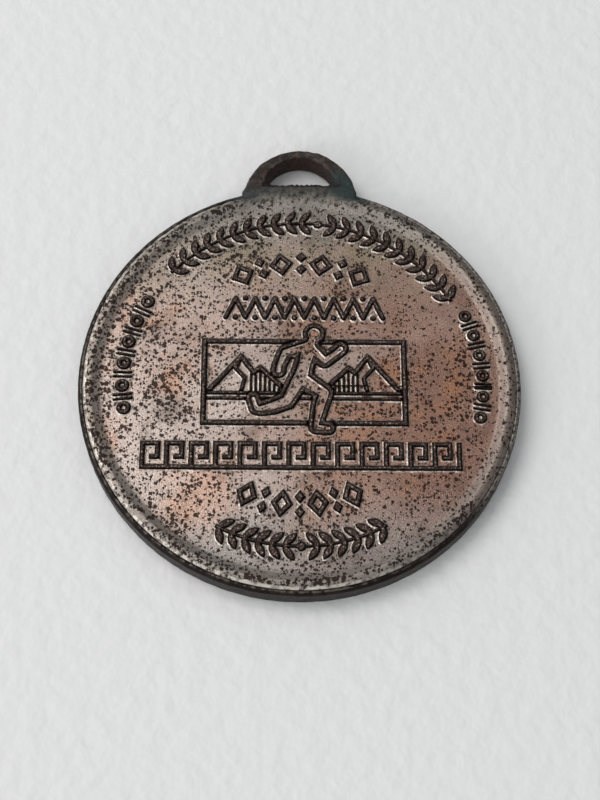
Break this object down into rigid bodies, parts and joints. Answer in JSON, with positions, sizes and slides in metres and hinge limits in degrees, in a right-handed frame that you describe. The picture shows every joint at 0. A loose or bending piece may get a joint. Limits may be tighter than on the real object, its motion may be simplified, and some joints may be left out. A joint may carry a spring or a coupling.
{
  "type": "sports medal",
  "caption": "Round struck finisher medal with a raised rim, a pierced ribbon loop, and raised ornament around a framed runner on the front.",
  "frame": {"origin": "centre of the disc, on the plane of the back rim that the medal rests on", "axes": "+Z out of the front face, +Y from the centre to the ribbon loop, +X to the right of the upright design"},
  "size_m": [0.06, 0.066, 0.004],
  "materials": {
    "silver_wash": "worn silver wash over copper alloy, satin, pitted",
    "worn_rim": "rubbed bright on the rim's top, tarnished dark on the wall",
    "loop_patina": "dark brown tarnish with green-blue verdigris at the foot",
    "dark_relief": "dark antiqued strokes with rubbed ridges"
  },
  "bodies": {
    "root": {"field_disc": "silver_wash", "rim_ring": "worn_rim", "ribbon_loop": "loop_patina", "scene_frame": "dark_relief", "horizon_bars": "dark_relief", "left_peak": "dark_relief", "right_peak": "dark_relief", "left_slope_lines": "dark_relief", "right_slope_lines": "dark_relief", "runner": "dark_relief", "upper_laurel": "dark_relief", "lower_laurel": "dark_relief", "upper_lozenges": "dark_relief", "lower_lozenges": "dark_relief", "left_beads": "dark_relief", "right_beads": "dark_relief", "zigzag_row": "dark_relief", "meander_row": "dark_relief"}
  },
  "joints": []
}
